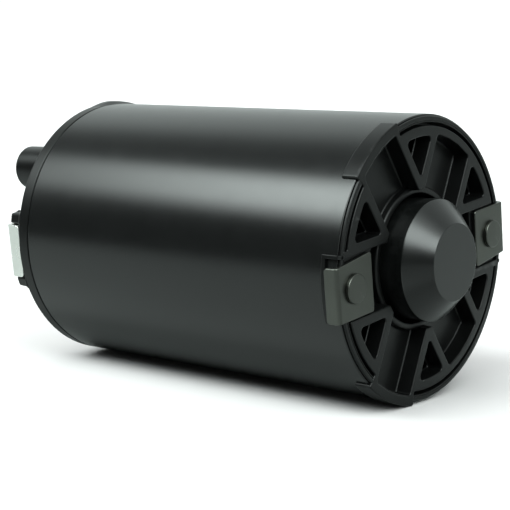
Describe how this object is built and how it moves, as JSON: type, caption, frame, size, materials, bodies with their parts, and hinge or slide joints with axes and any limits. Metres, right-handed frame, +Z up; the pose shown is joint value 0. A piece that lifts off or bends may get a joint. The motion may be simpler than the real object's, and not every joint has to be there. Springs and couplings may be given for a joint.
{
  "type": "hydraulic reservoir",
  "caption": "Closed cylindrical hydraulic reservoir with ribbed end caps, steel clips, a spring-loaded piston and a nose cone that shows the level.",
  "frame": {"origin": "centre of the suction port's mouth, on the tank's axis at its rear end", "axes": "+X runs along the tank's axis towards the front cap and its nose cone, +Z is up, and the clips lie to the left and right"},
  "size_m": [0.361, 0.209, 0.203],
  "materials": {
    "tube_paint": "semi-gloss black coat",
    "cap_plastic": "satin moulded black",
    "nose_plastic": "semi-gloss moulded black",
    "clip_steel": "satin, dark olive grey passivated",
    "rear_clip_zinc": "bright zinc plated",
    "seal_rubber": "matt black nitrile",
    "bright_steel": "zinc plated",
    "spring_steel": "oiled spring steel",
    "piston_aluminium": "turned",
    "ring_plastic": "natural PTFE",
    "wear_ring_plastic": "brown filled resin",
    "port_brass": "machined"
  },
  "bodies": {
    "tank": {"shell": "tube_paint", "front_cap": "cap_plastic", "rear_cap": "cap_plastic", "front_clip_right": "clip_steel", "front_clip_left": "clip_steel", "rear_clip_right": "rear_clip_zinc", "rear_clip_left": "rear_clip_zinc", "front_clip_rivets": "clip_steel", "rear_clip_rivets": "rear_clip_zinc", "front_gasket": "seal_rubber", "front_bumper": "seal_rubber", "front_spring_seat": "bright_steel", "return_spring": "spring_steel", "rear_bumper": "seal_rubber", "rear_o_ring": "seal_rubber", "rear_lock_ring": "spring_steel", "suction_port_insert": "port_brass", "suction_strainer": "bright_steel", "return_port_insert": "port_brass", "return_diffuser": "bright_steel", "bleed_screw": "bright_steel", "bleed_washer": "port_brass"},
    "piston": {"piston": "piston_aluminium", "piston_seal": "seal_rubber", "piston_backup_ring": "ring_plastic", "wear_ring_front": "wear_ring_plastic", "wear_ring_rear": "wear_ring_plastic", "piston_spring_seat": "bright_steel", "piston_stem": "nose_plastic", "nose_cone": "nose_plastic", "stem_seal": "seal_rubber", "stem_screws": "bright_steel", "stem_washers": "seal_rubber"}
  },
  "joints": [
    {"name": "piston_slide", "type": "slide", "parent": "tank", "child": "piston", "axis": [1, 0, 0], "range_m": [-0.15, 0], "deforming": ["return_spring"]}
  ]
}
